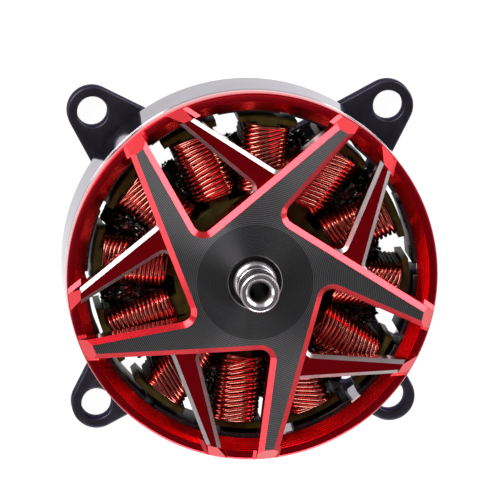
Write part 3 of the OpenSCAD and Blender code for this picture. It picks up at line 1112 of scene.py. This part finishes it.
def arm_opening():
    """The opening under the bell in the arm that points along X, clockwise."""
    r0, r1, rib = 11.3 * MM, 17.9 * MM, 1.9 * MM
    w0, w1 = arm_half_width(r0) - rib, arm_half_width(r1) - rib
    corners = [Vector((r0, -w0)), Vector((r0, w0)), Vector((r1, w1)), Vector((r1, -w1))]
    loop = []
    for i, radius in enumerate((1.6, 1.6, 1.0, 1.0)):
        loop += rounded_corner(corners[i - 1], corners[i], corners[(i + 1) % 4], radius * MM)
    return loop


def make_base():
    """The cross of arms with the bearing tube on it."""
    builder = Builder()
    bore = circle_loop(Vector((0, 0)), BEARING_SEAT_R, 96)
    holes = [circle_loop(dir2(a) * BOLT_R, LUG_HOLE_R) for a in LUG_DIRS]
    holes += [rotated(arm_opening(), a) for a in LUG_DIRS]
    slab(builder, base_outline(), [*holes, bore], 0, BASE_T, 0.2 * MM)
    narrow_r, narrow_z0, narrow_z1 = 3.8 * MM, 5.6 * MM, 9.7 * MM
    revolve(builder, [
        (TUBE_R + 0.4 * MM, BASE_T - 0.1 * MM), (TUBE_R + 0.12 * MM, BASE_T + 0.08 * MM),
        (TUBE_R, BASE_T + 0.4 * MM), (TUBE_R, TUBE_TOP - 0.2 * MM), (TUBE_R - 0.2 * MM, TUBE_TOP),
        (4.7 * MM, TUBE_TOP), (BEARING_SEAT_R, TUBE_TOP - 0.2 * MM), (BEARING_SEAT_R, narrow_z1),
        (narrow_r, narrow_z1), (narrow_r, narrow_z0), (BEARING_SEAT_R, narrow_z0),
        (BEARING_SEAT_R, 1.0 * MM),
    ], segments=96)
    base = builder.object("base_milled", [NODE_LOOKS["black_anodised"]], sharp=35)
    ride_as(base, "stator", "base")


def core_outline():
    """The laminations' outline, anticlockwise: hub, teeth and rounded heads."""
    hub_r, head_r, half_arc = 8.0 * MM, 15.75 * MM, 10.8
    half_w = TOOTH_W / 2
    hub_x = math.sqrt(hub_r ** 2 - half_w ** 2)
    head_x = math.sqrt(head_r ** 2 - half_w ** 2)
    head_turn = math.degrees(math.asin(half_w / head_r))
    points = []
    for i in range(TEETH):
        side = [Vector((hub_x, half_w)), Vector((head_x, half_w))]
        side += on_circle(head_r, head_turn, half_arc, 5)[1:]
        outer = on_circle(STATOR_R, -half_arc, half_arc, 12)
        tooth = [Vector((p.x, -p.y)) for p in side] + outer + side[::-1]
        points += rotated(tooth, tooth_dir(i))
    return points


def make_core():
    """The laminations as one coated block."""
    builder = Builder()
    bore = circle_loop(Vector((0, 0)), 6.4 * MM, 96)
    slab(builder, core_outline(), [bore], CORE_Z0, CORE_Z1, 0.24 * MM)
    core = builder.object("core_coated", [NODE_LOOKS["coated_core"]], sharp=50)
    ride_as(core, "stator", "stator_core")


def make_magnets():
    """Fourteen curved magnets with broken edges."""
    for i in range(MAGNETS):
        lo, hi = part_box(f"magnet_{i + 1}")
        loop = on_circle(MAGNET_R1, -MAGNET_HALF_ARC, MAGNET_HALF_ARC, 10)
        loop += on_circle(MAGNET_R0, MAGNET_HALF_ARC, -MAGNET_HALF_ARC, 10)
        builder = Builder()
        slab(builder, rotated(loop, MAGNET_PHASE + i * 360 / MAGNETS), [], lo.z, hi.z, 0.14 * MM)
        magnet = builder.object(f"magnet_block_{i + 1}", [NODE_LOOKS["magnet"]], sharp=30)
        ride_as(magnet, "rotor", f"magnet_{i + 1}")


make_base()
make_core()
make_magnets()

# ---------------------------------------------------------------- varnish and painted shade in the slots

# By the slot's direction: how many millimetres further out its dark varnish and painted shade reach.
FULL_SLOTS = {38: 1.4, 68: 0.8, 158: 2.1, 188: 1.7, 308: 0.8}
VARNISH_END = STATOR_R - 0.15 * MM


def make_varnish_and_shade():
    """Lumps of dark varnish and insulation that fill the slots between the coils; their black stands
    in as painted shade deep in the slots.
    """
    for i in range(TEETH):
        rng = random.Random(500 + i)
        direction = (tooth_dir(i) + 180 / TEETH) % 360
        bm = bmesh.new()
        bmesh.ops.create_icosphere(bm, subdivisions=5, radius=1)
        r0, r1 = 8.4 * MM, rng.uniform(13.8, 14.4) * MM
        r1 += FULL_SLOTS.get(direction, 0) * MM
        top = rng.uniform(12.4, 13.1) * MM
        bottom = 6.2 * MM
        seed = Vector((i * 7.3, i * 3.1, 0))
        # The sphere becomes a lumpy wedge with squared sides.
        for v in bm.verts:
            reach = 0.5 + 0.5 * v.co.x
            radius = r0 + (r1 - r0) * reach
            half = radius * math.tan(math.radians(3.4 + 3.0 * reach))
            height = (top + bottom) / 2 + v.co.z * (top - bottom) / 2
            lump = noise.fractal(v.co * 2.2 + seed, 0.7, 2.1, 5) * 0.7 * MM
            square = v.co.normalized()
            square = square / max(0.75, abs(square.x), abs(square.y))
            spot = Vector((radius, square.y * half, height)) + v.co.normalized() * lump
            spot.x = min(spot.x, VARNISH_END)
            v.co = spot
        turn = Matrix.Rotation(math.radians(direction), 4, "Z")
        bmesh.ops.transform(bm, matrix=turn, verts=bm.verts)
        mesh = bpy.data.meshes.new(f"slot_varnish_and_shade_{i + 1}")
        bm.to_mesh(mesh)
        bm.free()
        mesh.materials.append(VARNISH_AND_SHADE)
        blob = finish_mesh(f"slot_varnish_and_shade_{i + 1}", mesh, sharp=35)
        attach(blob, "stator")


make_varnish_and_shade()

# ---------------------------------------------------------------- CAD nodes kept


def dress_nodes():
    """Gives every CAD node the look of its material slot."""
    looks = {s["node"]: s["material_slot"] for s in frame["record"]["subparts"]}
    for name, obj in frame["nodes"].items():
        obj.data.materials.clear()
        obj.data.materials.append(NODE_LOOKS[looks[name]])
        obj.data.shade_smooth()


dress_nodes()

# ---------------------------------------------------------------- studio


def make_floor():
    """A wide floor, lower than the base by too little to be seen."""
    size, z = 3.0, -0.02 * MM
    mesh = bpy.data.meshes.new("floor")
    corners = [(-size, -size, z), (size, -size, z), (size, size, z), (-size, size, z)]
    mesh.from_pydata(corners, [], [(0, 1, 2, 3)])
    mesh.materials.append(studio_floor())
    floor = bpy.data.objects.new("floor", mesh)
    bpy.context.scene.collection.objects.link(floor)


def softbox(name, azimuth, elevation, distance, width, height, radiance):
    """An area light that faces the motor from that direction, as bright as radiance.
    Angles are in degrees and lengths in metres."""
    data = bpy.data.lights.new(name, "AREA")
    data.shape = "RECTANGLE"
    data.size = width
    data.size_y = height
    data.energy = radiance * math.pi * width * height
    light = bpy.data.objects.new(name, data)
    bpy.context.scene.collection.objects.link(light)
    flat = dir2(azimuth) * math.cos(math.radians(elevation)) * distance
    place = Vector((flat.x, flat.y, math.sin(math.radians(elevation)) * distance + 0.01))
    aim = (Vector((0, 0, 0.012)) - place).to_track_quat("-Z", "Y")
    light.matrix_world = Matrix.Translation(place) @ aim.to_matrix().to_4x4()
    light.visible_camera = False


def make_surroundings():
    """Bright at the horizon and dark overhead, as in a light tent open at the top."""
    world = bpy.data.worlds.new("studio")
    bpy.context.scene.world = world
    world.use_nodes = True
    tree = world.node_tree
    source = tree.nodes.new("ShaderNodeTexCoord")
    split = tree.nodes.new("ShaderNodeSeparateXYZ")
    ramp = tree.nodes.new("ShaderNodeValToRGB")
    stops = ramp.color_ramp.elements
    for height, level in ((0.1, 0.75), (0.3, 0.5), (0.5, 0.4), (0.8, 0.17), (0.93, 0.15)):
        stop = stops.new(height)
        stop.color = (level, level, level * 1.03, 1)
    stops.remove(stops[0])
    stops.remove(stops[-1])
    tree.links.new(source.outputs["Generated"], split.inputs["Vector"])
    tree.links.new(split.outputs["Z"], ramp.inputs["Fac"])
    tree.links.new(ramp.outputs["Color"], tree.nodes["Background"].inputs["Color"])


def make_studio():
    """The floor, the surroundings and five soft lights."""
    make_floor()
    make_surroundings()
    softbox("key", 136, 28, 0.5, 0.33, 0.36, 6.5)
    softbox("second", 35, 12, 0.5, 0.42, 0.22, 6.0)
    softbox("left", 194, 15, 0.6, 0.3, 0.24, 1.9)
    softbox("right", -16, 8, 0.6, 0.2, 0.22, 1.6)
    softbox("low", 272, 29, 0.5, 0.44, 0.18, 6.0)
    bpy.context.scene.view_settings.view_transform = "Standard"


make_studio()
